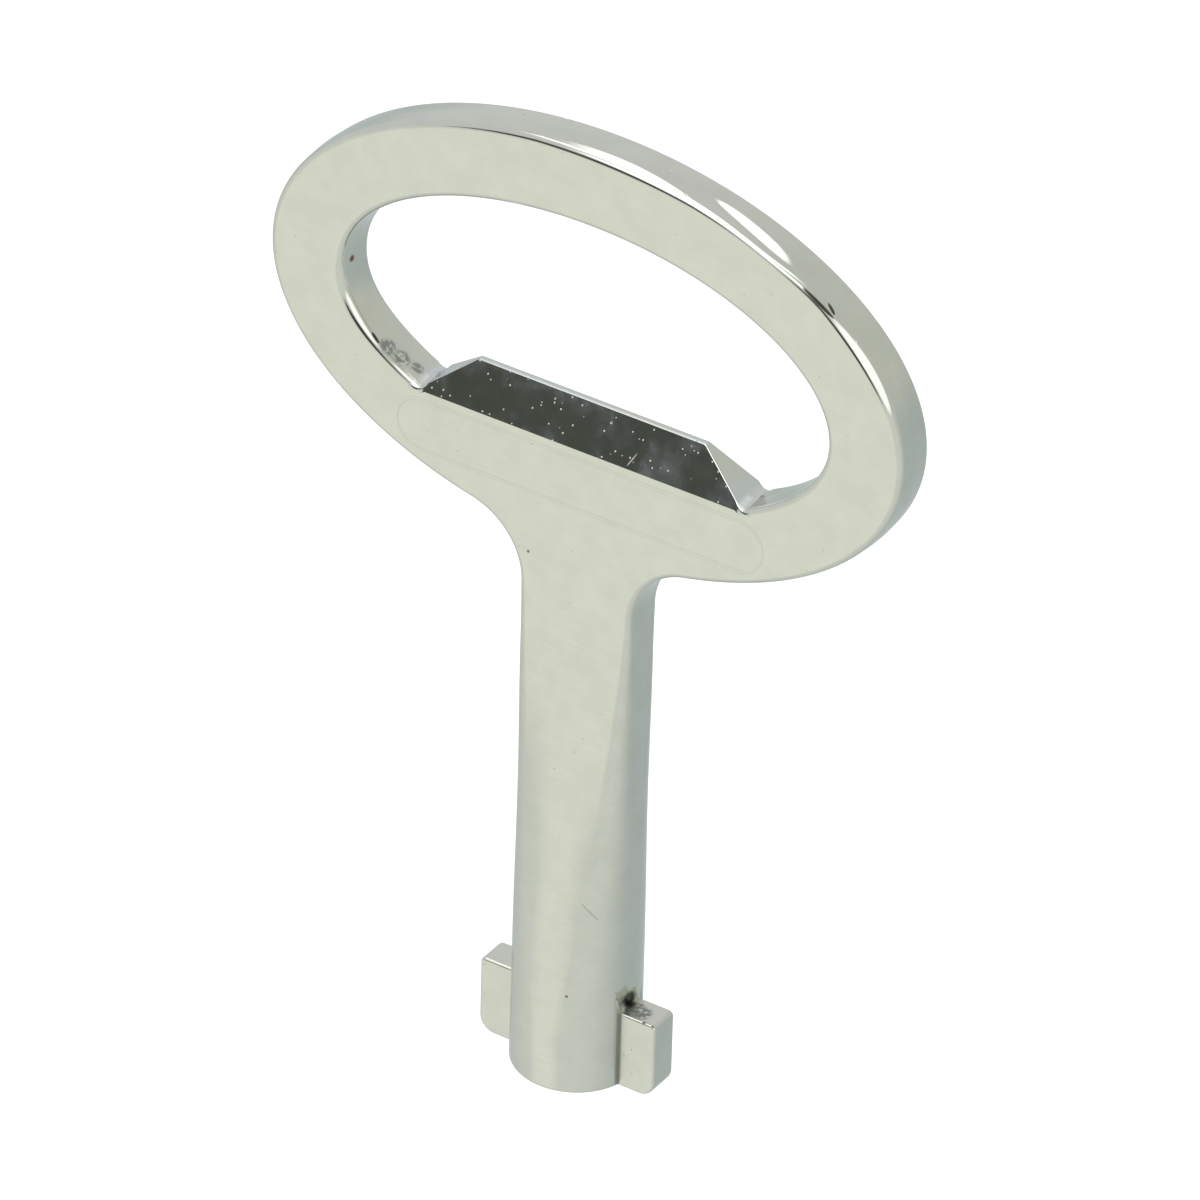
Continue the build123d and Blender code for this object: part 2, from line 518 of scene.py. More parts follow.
def panel_line():
    """Loops of (position, normal) round the panel, a round-ended strip."""
    radius = (PANEL_HIGH_Z - PANEL_LOW_Z) / 2
    middle_z = (PANEL_HIGH_Z + PANEL_LOW_Z) / 2
    straight = PANEL_HALF_LENGTH - radius
    path = []
    for side in (1, -1):
        for turn in spread(-math.pi / 2, math.pi / 2, PANEL_END_STEPS):
            towards = Vector((side * math.cos(turn), 0, side * math.sin(turn)))
            path.append((Vector((side * straight, 0, middle_z)), towards))
    loops = []
    for offset, depth_share, slope in panel_loops():
        reach = radius + offset * PANEL_LINE_HALF_WIDTH
        y = -PLATE_DEPTH + depth_share * PANEL_LINE_DEPTH
        loop = []
        for centre, towards in path:
            position = centre + towards * reach + Y_AXIS * y
            loop.append((position, (-Y_AXIS - towards * slope).normalized()))
        loops.append(loop)
    return loops


def inside(position, loop):
    """True if the point lies inside a closed loop of points, seen from the front."""
    hit = False
    for a, b in zip(loop, loop[1:] + loop[:1]):
        if (a.z > position.z) != (b.z > position.z):
            x = a.x + (position.z - a.z) * (b.x - a.x) / (b.z - a.z)
            if x > position.x:
                hit = not hit
    return hit


def fill_plate(shell, outline, hole, loops, toward):
    """Flat face between the outline and the opening, with the panel's loops in it."""
    corners = []
    edges = []
    for loop in [[(p, toward) for p in outline], [(p, toward) for p in hole]] + loops:
        start = len(corners)
        corners.extend(loop)
        edges.extend((start + i, start + (i + 1) % len(loop)) for i in range(len(loop)))
    flat = [Vector((position.x, position.z)) for position, _ in corners]
    points, _, triangles, sources, _, _ = delaunay_2d_cdt(flat, edges, [], 0, 1e-6)
    for triangle in triangles:
        centre = sum((points[i] for i in triangle), Vector((0, 0))) / 3
        centre = Vector((centre.x, 0, centre.y))
        if inside(centre, outline) and not inside(centre, hole):
            shell.face([corners[sources[i][0]] for i in triangle])


def make_bow(opening, seam):
    """Oval plate from the neck up, without the thumb ridge."""
    shell = Shell()
    outer = [station.rows() for station in outer_stations()]
    shell.grid(outer)

    right = opening[seam:]
    left = [worn(station.mirrored()) for station in reversed(opening[seam:-1])]
    inner = [station.rows() for station in right + left]
    shell.grid(inner)
    for rows in (inner[0], inner[-1]):
        toward = Vector((-rows[0][0].x, 0, 0))
        shell.flat([position for position, _ in rows], toward)

    ridge = opening[: seam + 1]
    floor = [station.mirrored().foot for station in reversed(ridge[1:])]
    floor += [station.foot for station in ridge]
    for a, b in zip(floor, floor[1:]):
        shell.flat([a, b, mirrored_y(b), mirrored_y(a)], Z_AXIS)

    front_outline = [rows[0][0] for rows in outer]
    front_hole = floor + [rows[0][0] for rows in inner[1:-1]]
    fill_plate(shell, front_outline, front_hole, panel_line(), -Y_AXIS)
    back_outline = [mirrored_y(point) for point in front_outline]
    back_hole = [mirrored_y(point) for point in front_hole]
    fill_plate(shell, back_outline, back_hole, [], Y_AXIS)

    neck = [position for position, _ in outer[0]] + [position for position, _ in outer[-1]][::-1]
    shell.flat(neck, -Z_AXIS)
    return shell.build("bow_plate")


def make_ridge(opening, seam):
    """Hipped ridge along the lower edge of the opening, with its hollow ends."""
    shell = Shell()
    right = opening[: seam + 1]
    left = [station.mirrored() for station in reversed(right[1:])]
    stations = left + right
    rows = [station.rows() for station in stations]
    shell.grid(rows)
    for section, side in ((rows[0], -1), (rows[-1], 1)):
        shell.flat([position for position, _ in section], X_AXIS * side)
    feet = [station.foot for station in stations]
    for a, b in zip(feet, feet[1:]):
        shell.flat([a, b, mirrored_y(b), mirrored_y(a)], -Z_AXIS)
    return shell.build("thumb_rest_ridge")


# ---------------------------------------------------------------- shank


def neck_depth(height):
    """Half thickness of the shank at a height: a straight taper that flows into the plate."""
    slope = (TIP_RADIUS - PLATE_DEPTH) / (NECK_Z - BARREL_TOP_Z - NECK_BLEND / 2)
    below = NECK_Z - height
    if below < NECK_BLEND:
        return PLATE_DEPTH + slope * below**2 / (2 * NECK_BLEND)
    return min(PLATE_DEPTH + slope * (below - NECK_BLEND / 2), TIP_RADIUS)


def section_quarter(height):
    """(x, y, normal x, normal y) from the middle of the front to the right side."""
    rise = clamp((height - BARREL_TOP_Z) / (NECK_Z - BARREL_TOP_Z))
    depth = neck_depth(height)
    width = TIP_RADIUS + (NECK_HALF_WIDTH - TIP_RADIUS) * rise
    draft = DRAFT * rise
    fullest = FULLEST_ROUNDING * depth
    radius = fullest + (EDGE_RADIUS - fullest) * rise**2
    lean = math.atan(draft)
    corner_x = width - depth * draft
    centre_x = corner_x - radius / math.tan((math.pi / 2 + lean) / 2)
    crown = FACE_CROWN * math.sin(math.pi * smooth(rise))
    start_turn = math.atan(2 * crown / centre_x)
    centre_y = -depth + crown + radius * math.cos(start_turn)
    face_end = centre_x + radius * math.sin(start_turn)
    samples = []
    for share in spread(0, 1, FACE_COLUMNS)[:-1]:
        turn = math.atan(math.tan(start_turn) * share)
        y = -depth + crown * share**2
        samples.append((face_end * share, y, math.sin(turn), -math.cos(turn)))
    for share in CORNER_SHARES:
        turn = start_turn + (math.pi / 2 - lean - start_turn) * share
        nx = math.sin(turn)
        ny = -math.cos(turn)
        samples.append((centre_x + radius * nx, centre_y + radius * ny, nx, ny))
    edge_y = samples[-1][1]
    for share in WALL_ROWS:
        y = edge_y * share
        near = max(PARTING_SOFTNESS - abs(y), 0)
        x = width - abs(y) * draft - draft * near**2 / (2 * PARTING_SOFTNESS)
        tilt = math.atan(draft * min(abs(y) / PARTING_SOFTNESS, 1))
        samples.append((x, y, math.cos(tilt), -math.sin(tilt)))
    return samples


def section_loop(height):
    """The whole section at a height, anticlockwise from the middle of the front."""
    quarter = section_quarter(height)
    back = [(x, -y, nx, -ny) for x, y, nx, ny in reversed(quarter[:-1])]
    right = quarter + back
    left = [(-x, y, -nx, ny) for x, y, nx, ny in reversed(right[1:-1])]
    return right + left


def shank_row(height):
    """(position, normal) pairs round the shank, the normals leaning with its taper."""
    step = 0.01
    here = section_loop(height)
    above = section_loop(min(height + step, NECK_Z))
    below = section_loop(min(height + step, NECK_Z) - 2 * step)
    row = []
    for (x, y, nx, ny), upper, lower in zip(here, above, below):
        growth = ((upper[0] - lower[0]) * nx + (upper[1] - lower[1]) * ny) / (2 * step)
        row.append((Vector((x, y, height)), Vector((nx, ny, -growth)).normalized()))
    return row


def closed(row):
    """The row with its first sample repeated at its end."""
    return row + row[:1]


def slide_flat_share(position):
    """How much of the slide flat's depth applies here: 1 on the flat, 0 away from it."""
    across = abs(position.y) / (BIT_DEPTH - FLAT_EDGE)
    top = BIT_TOP_Z + SLIDE_FLAT_HEIGHT - FLAT_ARCH * min(across, FLAT_ARCH_REACH) ** 2
    softness = FLAT_EDGE if position.y < 0 else FLAT_BACK_EDGE
    beside = smooth((BIT_DEPTH - abs(position.y)) / softness)
    below = smooth((top - position.z) / FLAT_EDGE)
    return beside * below if position.z > BIT_TOP_Z - SLIDE_FLAT_HEIGHT else 0.0


def press_slide_flats(rows):
    """Presses the two flats above the bits into the shank, with normals to match."""
    count = len(rows[0])
    pressed = []
    for row in rows:
        new_row = []
        for position, normal in row:
            share = slide_flat_share(position)
            depth = max(abs(position.x) - SLIDE_FLAT_X, 0.0) * share
            new_row.append(position - X_AXIS * math.copysign(depth, position.x))
        pressed.append(new_row)
    result = [rows[0]]
    for i in range(1, len(rows) - 1):
        new_row = []
        for j, (position, normal) in enumerate(rows[i]):
            near = [pressed[i][j], pressed[i - 1][j], pressed[i + 1][j]]
            near += [pressed[i][j - 1], pressed[i][(j + 1) % count]]
            moved = (pressed[i][j] - position).length > 0
            if moved or any(slide_flat_share(point) > 0 for point in near):
                up = near[2] - near[1]
                along = near[4] - near[3]
                turned = along.cross(up).normalized()
                normal = turned if turned.dot(normal) > 0 else -turned
            new_row.append((pressed[i][j], normal))
        result.append(new_row)
    return result + [rows[-1]]


def tip_rows():
    """Rows of the rounded edge at the tip, from the end face up."""
    base = shank_row(TIP_Z + TIP_EDGE_RADIUS)
    rows = []
    for turn in spread(math.pi / 2, 0, ROUNDING_STEPS):
        inset = TIP_EDGE_RADIUS * (1 - math.cos(turn))
        row = []
        for position, normal in base:
            place = position - normal * inset
            place.z = TIP_Z + TIP_EDGE_RADIUS * (1 - math.sin(turn))
            row.append((place, normal * math.cos(turn) - Z_AXIS * math.sin(turn)))
        rows.append(row)
    return rows


def bore_rows(directions):
    """Rows of the pin bore, from its mouth up to the rim of its flat end.

    The plan gives (radius, depth, turn of the normal from straight down). Known fault: the
    normals of the last two rows lean up into the metal, so the ring between them faces away.
    """
    plan = [
        (BORE_RADIUS + BORE_CHAMFER, 0.0, 0.0),
        (BORE_RADIUS + BORE_CHAMFER * 0.85, 0.06, 35.0),
        (BORE_RADIUS + BORE_CHAMFER * 0.15, BORE_CHAMFER * 0.85, 55.0),
        (BORE_RADIUS, BORE_CHAMFER * 1.2, 90.0),
        (BORE_RADIUS, BORE_DEPTH - BORE_END_RADIUS, 90.0),
        (BORE_RADIUS - 0.3 * BORE_END_RADIUS, BORE_DEPTH - 0.3 * BORE_END_RADIUS, 135.0),
        (BORE_RADIUS - BORE_END_RADIUS, BORE_DEPTH, 180.0),
    ]
    rows = []
    for radius, depth, turn in plan:
        inward = math.sin(math.radians(turn))
        down = math.cos(math.radians(turn))
        row = []
        for direction in directions:
            position = direction * radius + Z_AXIS * (TIP_Z + depth)
            row.append((position, -direction * inward - Z_AXIS * down))
        rows.append(row)
    return rows


def make_shank():
    """Round at the tip, as flat as the plate at the neck, with a blind bore."""
    shell = Shell()
    flat_top = BIT_TOP_Z + SLIDE_FLAT_HEIGHT
    heights = spread(TIP_Z + TIP_EDGE_RADIUS, BIT_TOP_Z - BARREL_MARGIN, BARREL_STEPS)
    heights += spread(BIT_TOP_Z - BARREL_MARGIN, flat_top + FLAT_MARGIN, FLAT_STEPS)[1:]
    heights += spread(flat_top + FLAT_MARGIN, NECK_Z - NECK_BLEND, TAPER_STEPS)[1:]
    heights += spread(NECK_Z - NECK_BLEND, NECK_Z, BLEND_STEPS)[1:]
    rows = press_slide_flats(tip_rows() + [shank_row(height) for height in heights[1:]])
    shell.grid([closed(row) for row in rows])
    shell.flat([position for position, _ in rows[-1]], Z_AXIS)

    directions = [Vector((p.x, p.y, 0)).normalized() for p, _ in rows[0]]
    bore = bore_rows(directions)
    rim = [(position, -Z_AXIS) for position, _ in rows[0]]
    shell.grid([closed(rim), closed([(position, -Z_AXIS) for position, _ in bore[0]])])
    shell.grid([closed(row) for row in bore])
    shell.flat([position for position, _ in bore[-1]], -Z_AXIS)
    return shell.build("key_shank")


# ---------------------------------------------------------------- bits


def bit_outline():
    """(centre, radius, turn) of each outline sample: the point is centre + radius * turn."""
    corners = [
        (BIT_ROOT_X, TIP_Z, BIT_EDGE_RADIUS, 180, 270),
        (BIT_REACH, TIP_Z, BIT_TOE_RADIUS, 270, 360),
        (BIT_REACH, BIT_TOP_Z, BIT_HEEL_RADIUS, 0, 90),
        (BIT_ROOT_X, BIT_TOP_Z, BIT_EDGE_RADIUS, 90, 180),
    ]
    samples = []
    for x, z, radius, start, end in corners:
        centre_x = x + (radius if x == BIT_ROOT_X else -radius)
        centre_z = z + (radius if z == TIP_Z else -radius)
        for turn in spread(math.radians(start), math.radians(end), BIT_CORNER_STEPS):
            towards = Vector((math.cos(turn), 0, math.sin(turn)))
            samples.append((Vector((centre_x, 0, centre_z)), radius, towards))
    return samples


def make_bit(name, side):
    """Flat lug with rounded edges, its root inside the shank. side is 1 right, -1 left."""
    shell = Shell()
    rows = []
    for centre, radius, towards in bit_outline():
        half = []
        for turn in spread(0, math.pi / 2, ROUNDING_STEPS):
            inset = BIT_EDGE_RADIUS * (1 - math.sin(turn))
            y = -BIT_DEPTH + BIT_EDGE_RADIUS * (1 - math.cos(turn))
            place = centre + towards * (radius - inset) + Y_AXIS * y
            normal = towards * math.sin(turn) - Y_AXIS * math.cos(turn)
            half.append((place, normal))
        back = [(mirrored_y(place), mirrored_y(normal)) for place, normal in reversed(half)]
        rows.append(half + back)
    if side < 0:
        rows = [[(mirrored_x(p), mirrored_x(n)) for p, n in row] for row in rows]
    shell.grid(rows, closed=True)
    shell.flat([row[0][0] for row in rows], -Y_AXIS)
    shell.flat([row[-1][0] for row in rows], Y_AXIS)
    return shell.build(name)


# ---------------------------------------------------------------- materials


class Nodes:
    """Short ways to add shader nodes to one tree."""

    def __init__(self, tree):
        self.tree = tree
        self.tree.nodes.clear()

    def add(self, kind, **settings):
        node = self.tree.nodes.new(kind)
        for key, value in settings.items():
            setattr(node, key, value)
        return node

    def put(self, value, socket):
        """Sets a socket from a number, a colour or another node's output."""
        if isinstance(value, bpy.types.NodeSocket):
            self.tree.links.new(value, socket)
        else:
            socket.default_value = value

    def math(self, operation, a, b=0.0, clamped=False):
        node = self.add("ShaderNodeMath", operation=operation, use_clamp=clamped)
        self.put(a, node.inputs[0])
        self.put(b, node.inputs[1])
        return node.outputs[0]

    def ramp(self, value, low, high, to_low=0.0, to_high=1.0):
        """Smooth step of a value from one range to another."""
        node = self.add("ShaderNodeMapRange", interpolation_type="SMOOTHSTEP")
        for socket, number in zip(node.inputs, (value, low, high, to_low, to_high)):
            self.put(number, socket)
        return node.outputs[0]

    def mix(self, factor, a, b):
        node = self.add("ShaderNodeMix", data_type="RGBA")
        self.put(factor, node.inputs["Factor"])
        self.put(a, node.inputs[6])
        self.put(b, node.inputs[7])
        return node.outputs[2]

    def mapped(self, place, scales, shift):
        """The place scaled along each axis, and shifted so that each pattern differs."""
        mapping = self.add("ShaderNodeMapping")
        mapping.inputs["Scale"].default_value = scales
        mapping.inputs["Location"].default_value = (shift, shift * 0.7, shift * 1.3)
        self.put(place, mapping.inputs["Vector"])
        return mapping.outputs[0]

    def noise(self, place, scale, detail=2.0, roughness=0.5, stretch=(1.0, 1.0, 1.0), shift=0.0):
        """Noise with about this many features per millimetre."""
        scales = [axis * scale / MM for axis in stretch]
        node = self.add("ShaderNodeTexNoise")
        node.inputs["Scale"].default_value = 1.0
        node.inputs["Detail"].default_value = detail
        node.inputs["Roughness"].default_value = roughness
        self.put(self.mapped(place, scales, shift), node.inputs["Vector"])
        return node.outputs["Fac"]

    def specks(self, place, scale, size, share, shift=0.0):
        """1 in small round spots: about this many cells per millimetre, a share of them used."""
        cells = self.add("ShaderNodeTexVoronoi")
        cells.inputs["Scale"].default_value = 1.0
        self.put(self.mapped(place, [scale / MM] * 3, shift), cells.inputs["Vector"])
        near = self.ramp(cells.outputs["Distance"], size * 0.45, size, 1.0, 0.0)
        split = self.add("ShaderNodeSeparateColor")
        self.put(cells.outputs["Color"], split.inputs[0])
        chosen = self.ramp(split.outputs[0], share * 0.98, share, 1.0, 0.0)
        return self.math("MULTIPLY", near, chosen)

    def bump(self, height, distance, after=None):
        node = self.add("ShaderNodeBump")
        node.inputs["Strength"].default_value = 1.0
        node.inputs["Distance"].default_value = distance * MM
        self.put(height, node.inputs["Height"])
        if after is not None:
            self.put(after, node.inputs["Normal"])
        return node.outputs[0]


CHROME = (0.64, 0.655, 0.60, 1.0)
HAZE = (0.60, 0.64, 0.65, 1.0)
STAIN = (0.52, 0.47, 0.36, 1.0)
BRUSHED = (0.46, 0.475, 0.435, 1.0)
MOTTLE = (0.22, 0.235, 0.23, 1.0)
# Near black for the painted shade in the pockets above the bits, and for the dark smears
SHADE_AND_SMEAR = (0.045, 0.045, 0.045, 1.0)
PIT = (0.13, 0.115, 0.10, 1.0)
RUST = (0.16, 0.075, 0.035, 1.0)
BARE_EDGE = (0.80, 0.80, 0.76, 1.0)
# Painted shade for the inner corners beside the bits
CORNER_SHADE = (0.20, 0.21, 0.21, 1.0)

# How strongly clouds and stains tint the plate, how much smudges dull it, and how far in
# millimetres the edges of its flaws wander
CLOUDING = 0.16
STAINING = 0.14
SMUDGING = 0.06
RAGGEDNESS = 0.1

# Flaws and painted shade by place, in millimetres: (middle, radius)
RUST_SPOTS = [((-18.9, -0.5, 57.1), 0.32)]
DARK_SPOTS = [
    ((-3.7, -1.7, 40.5), 0.13),
    ((1.73, -3.95, 7.95), 0.14),
    ((6.15, -1.1, 5.93), 0.17),
    ((6.87, -1.12, 5.93), 0.17),
]
# Painted shade: near black spots in the pockets above the bits, where the recess lies in shade
PAINTED_SHADE_SPOTS = [((4.15, -0.45, 7.0), 0.75), ((4.15, 0.1, 6.4), 0.75)]
# Mottled dull patches
MOTTLED_SPOTS = [
    ((4.8, 0.0, 6.0), 0.8),
    ((5.5, -0.3, 6.0), 0.9),
    ((-15.6, -1.0, 51.7), 0.8),
    ((-14.6, -0.8, 51.1), 0.8),
    ((-13.6, -0.5, 50.5), 0.6),
]
# Raised specks in the plating
RAISED_SPOTS = [
    ((4.46, 0.4, 72.4), 0.10),
    ((5.38, 0.2, 72.3), 0.17),
    ((5.9, 0.55, 72.2), 0.12),
    ((7.4, -1.25, 71.8), 0.20),
    ((20.6, -1.2, 65.6), 0.15),
]
# Dark smears, grey scuffs and bright scratches: (one end, other end, half width)
SMEARS = [
    ((16.4, -1.6, 68.6), (19.2, -1.5, 66.8), 0.14),
    ((18.2, -1.0, 67.8), (18.95, -1.3, 67.0), 0.14),
    ((-16.7, -1.3, 52.6), (-16.0, -1.4, 52.0), 0.14),
]
SCUFFS = [
    ((2.3, -3.3, 15.42), (3.34, -2.8, 14.2), 0.11),
    ((2.85, -2.9, 19.1), (3.1, -2.75, 18.5), 0.06),
]
SCUFF_STRENGTH = 0.4
SCRATCHES = [
    ((3.78, -1.61, 50.0), (4.26, -1.19, 50.9), 0.045),
    ((4.5, 0.75, 6.0), (5.2, 0.6, 6.0), 0.06),
    ((5.7, 0.05, 6.0), (6.4, -0.05, 6.0), 0.05),
]


def flaw_masks(nodes, place, ragged):
    """Masks of the flaws that have a known place, by kind, with the painted shade in the pockets
    above the bits.
    """

    def distance(middle):
        away = nodes.add("ShaderNodeVectorMath", operation="DISTANCE")
        nodes.put(place, away.inputs[0])
        away.inputs[1].default_value = Vector(middle) * MM
        return away.outputs["Value"]

    def spots(places):
        mask = 0.0
        for middle, radius in places:
            away = nodes.math("ADD", distance(middle), ragged)
            spot = nodes.ramp(away, radius * 0.5 * MM, radius * MM, 1.0, 0.0)
            mask = nodes.math("MAXIMUM", spot, mask)
        return mask

    def strokes(places):
        mask = 0.0
        for start, end, half_width in places:
            length = (Vector(end) - Vector(start)).length * MM
            detour = nodes.math("ADD", distance(start), distance(end))
            detour = nodes.math("SUBTRACT", detour, length)
            limit = 2 * (math.hypot(length / 2, half_width * MM) - length / 2)
            stroke = nodes.ramp(detour, limit * 0.3, limit * 1.2, 1.0, 0.0)
            mask = nodes.math("MAXIMUM", stroke, mask)
        return mask

    blotches = nodes.ramp(nodes.noise(place, 3.0, detail=3.0, shift=27.0), 0.38, 0.52)
    mottled = nodes.math("MULTIPLY", spots(MOTTLED_SPOTS), blotches)
    scuffs = nodes.math("MULTIPLY", strokes(SCUFFS), SCUFF_STRENGTH)
    return {
        "rust": spots(RUST_SPOTS),
        "dark": spots(DARK_SPOTS),
        "raised": spots(RAISED_SPOTS),
        # Painted shade in the pockets above the bits, together with the dark smears
        "shade_and_smears": nodes.math("MAXIMUM", spots(PAINTED_SHADE_SPOTS), strokes(SMEARS)),
        "mottled": nodes.math("MAXIMUM", mottled, scuffs),
        "scratched": strokes(SCRATCHES),
    }


# Painted shade along the seam beside the bits: its middle from the inner corner, its width and its
# fading top
SEAM_MIDDLE_X = -0.06
SEAM_MIDDLE_Y = 0.12
SEAM_SQUEEZE = 1.5
SEAM_CORE = 0.12
SEAM_REACH = 0.42
SEAM_FADE_BELOW = 0.3
SEAM_FADE_ABOVE = 1.4


def corner_shade_mask(nodes, place):
    """Painted shade in the inner corners where the bits stand on the shank."""
    split = nodes.add("ShaderNodeSeparateXYZ")
    nodes.put(place, split.inputs[0])
    across = nodes.math("ABSOLUTE", split.outputs[0])
    depth = nodes.math("ABSOLUTE", split.outputs[1])
    root_x = math.sqrt(TIP_RADIUS**2 - BIT_DEPTH**2)
    off_x = nodes.math("SUBTRACT", across, (root_x + SEAM_MIDDLE_X) * MM)
    off_y = nodes.math("SUBTRACT", depth, (BIT_DEPTH + SEAM_MIDDLE_Y) * MM)
    off_x = nodes.math("MULTIPLY", nodes.math("ABSOLUTE", off_x), SEAM_SQUEEZE)
    off = nodes.math("ADD", off_x, nodes.math("ABSOLUTE", off_y))
    beside = nodes.ramp(off, SEAM_CORE * MM, SEAM_REACH * MM, 1.0, 0.0)
    fade_start = (BIT_TOP_Z - SEAM_FADE_BELOW) * MM
    fade_end = (BIT_TOP_Z + SEAM_FADE_ABOVE) * MM
    low = nodes.ramp(split.outputs[2], fade_start, fade_end, 1.0, 0.0)
    return nodes.math("MULTIPLY", beside, low)


def plate_colour(nodes, place, masks, lines, patches, haze, brushing):
    """Colour of the plate: clouds, stains and brushing under the flaws and the painted shade at
    the bits.
    """
    stains = nodes.noise(place, 0.3, detail=3.0, shift=15.0)
    clouds = nodes.ramp(nodes.noise(place, 0.5, detail=4.0, shift=44.0), 0.3, 0.7, 0.0, CLOUDING)
    brushed = nodes.math("ADD", nodes.ramp(lines, 0.3, 0.7, 0.0, brushing), clouds)
    colour = nodes.mix(nodes.ramp(stains, 0.58, 0.78, 0.0, STAINING), CHROME, STAIN)
    colour = nodes.mix(brushed, colour, BRUSHED)
    if haze:
        colour = nodes.mix(patches, colour, HAZE)
    # Two of these layers are painted shade: the one for the corners beside the bits, and the near
    # black one in the pockets above them, which also draws the dark smears
    layers = (
        ("seam", 0.75, CORNER_SHADE),
        ("mottled", 0.85, MOTTLE),
        ("shade_and_smears", 0.95, SHADE_AND_SMEAR),
        ("dark", 0.8, PIT),
        ("rust", 0.9, RUST),
        ("scratched", 0.5, BARE_EDGE),
    )
    for kind, strength, tone in layers:
        colour = nodes.mix(nodes.math("MULTIPLY", masks[kind], strength), colour, tone)
    return colour


def plate_roughness(nodes, place, masks, patches, haze, dullness):
    """Roughness of the plate: smudges over an even dullness, rougher at the flaws."""
    smudges = nodes.ramp(nodes.noise(place, 0.9, detail=4.0, shift=21.0), 0.35, 0.75)
    smudges = nodes.math("ADD", nodes.math("MULTIPLY", smudges, SMUDGING), dullness)
    roughness = nodes.math("ADD", smudges, nodes.math("MULTIPLY", patches, haze))
    rougher = (
        ("dark", 0.3),
        ("rust", 0.4),
        ("raised", 0.35),
        ("scratched", 0.3),
        ("seam", 0.2),
        ("mottled", 0.25),
    )
    for kind, amount in rougher:
        extra = nodes.math("MULTIPLY", masks[kind], amount)
        roughness = nodes.math("ADD", roughness, extra, clamped=True)
    return roughness


def chrome(name, haze=0.0, pits=0.006, nodules=0.01, brushing=0.04, dullness=0.08):
    """Polished chrome plate over a die casting: wavy, finely polished, with a few flaws and
    painted shade at the bits.
    """
    material = bpy.data.materials.new(name)
    material.use_nodes = True
    nodes = Nodes(material.node_tree)
    place = nodes.add("ShaderNodeTexCoord").outputs["Object"]

    broad = nodes.noise(place, 0.16, detail=1.0)
    ripple = nodes.noise(place, 0.7, detail=2.0, shift=4.0)
    lines = nodes.noise(place, 4.0, detail=3.0, stretch=(0.06, 1.0, 1.0), shift=9.0)
    fine = nodes.noise(place, 9.0, detail=2.0, shift=31.0)
    patches = nodes.noise(place, 0.35, detail=4.0, roughness=0.6, shift=6.0)
    patches = nodes.ramp(patches, 0.40, 0.66)
    ragged = nodes.math("MULTIPLY", nodes.math("SUBTRACT", fine, 0.5), RAGGEDNESS * MM)
    masks = flaw_masks(nodes, place, ragged)
    pit_mask = nodes.specks(place, 1.1, 0.14, pits, shift=2.0)
    masks["dark"] = nodes.math("MAXIMUM", masks["dark"], pit_mask)
    nodule_mask = nodes.specks(place, 3.4, 0.24, nodules, shift=12.0)
    masks["raised"] = nodes.math("MAXIMUM", nodule_mask, masks["raised"])
    # Painted shade in the inner corners where the bits meet the shank
    masks["seam"] = corner_shade_mask(nodes, place)

    # Heights of the bumps in millimetres
    bumps = (
        (broad, 0.006),
        (ripple, 0.0009),
        (lines, 0.0011),
        (fine, 0.0003),
        (masks["dark"], -0.02),
        (masks["raised"], 0.012),
        (masks["scratched"], -0.01),
    )
    normal = None
    for pattern, height in bumps:
        normal = nodes.bump(pattern, height, normal)

    colour = plate_colour(nodes, place, masks, lines, patches, haze, brushing)
    roughness = plate_roughness(nodes, place, masks, patches, haze, dullness)
    shader = nodes.add("ShaderNodeBsdfPrincipled")
    shader.inputs["Metallic"].default_value = 1.0
    nodes.put(colour, shader.inputs["Base Color"])
    nodes.put(roughness, shader.inputs["Roughness"])
    nodes.put(normal, shader.inputs["Normal"])
    output = nodes.add("ShaderNodeOutputMaterial")
    nodes.put(shader.outputs[0], output.inputs["Surface"])
    return material


# ---------------------------------------------------------------- studio


def white_sheet(name, mesh, strength):
    """Plain white stage surface, left out of the reflections."""
    material = bpy.data.materials.new(name)
    material.use_nodes = True
    nodes = Nodes(material.node_tree)
    light = nodes.add("ShaderNodeEmission")
    light.inputs["Color"].default_value = (1.0, 1.0, 1.0, 1.0)
    light.inputs["Strength"].default_value = strength
    output = nodes.add("ShaderNodeOutputMaterial")
    nodes.put(light.outputs[0], output.inputs["Surface"])
    sheet = bpy.data.objects.new(name, mesh)
    sheet.data.materials.append(material)
    sheet.visible_glossy = False
    sheet.visible_diffuse = False
    sheet.visible_shadow = False
    bpy.context.scene.collection.objects.link(sheet)


# Studio floor and wall: its radius in metres, sides and brightness, its profile as (share of the
# radius outwards, share of the radius up), and its gap below the key in millimetres
STUDIO_RADIUS = 4.0
STUDIO_SIDES = 48
STUDIO_BRIGHTNESS = 1.2
STUDIO_PROFILE = [
    (0.02, 0.0),
    (0.5, 0.0),
    (0.72, 0.0),
    (0.85, 0.04),
    (0.95, 0.14),
    (1.0, 0.3),
    (0.9, 0.7),
    (0.55, 0.95),
]
FLOOR_GAP = 0.02


def make_studio():
    """Pale floor that rises into a pale wall all round, so no view sees a horizon."""
    points = []
    for reach, height in STUDIO_PROFILE:
        z = (TIP_Z - FLOOR_GAP) * MM + STUDIO_RADIUS * height
        for k in range(STUDIO_SIDES):
            turn = 2 * math.pi * k / STUDIO_SIDES
            x = STUDIO_RADIUS * reach * math.cos(turn)
            points.append((x, STUDIO_RADIUS * reach * math.sin(turn), z))
    faces = [list(range(STUDIO_SIDES))]
    last = (len(STUDIO_PROFILE) - 1) * STUDIO_SIDES
    for ring in range(0, last, STUDIO_SIDES):
        for k in range(STUDIO_SIDES):
            a = ring + k
            b = ring + (k + 1) % STUDIO_SIDES
            faces.append([a, b, b + STUDIO_SIDES, a + STUDIO_SIDES])
    faces.append(list(range(last, last + STUDIO_SIDES)))
    mesh = bpy.data.meshes.new("studio_floor")
    mesh.from_pydata(points, [], faces)
    white_sheet("studio_floor", mesh, STUDIO_BRIGHTNESS)


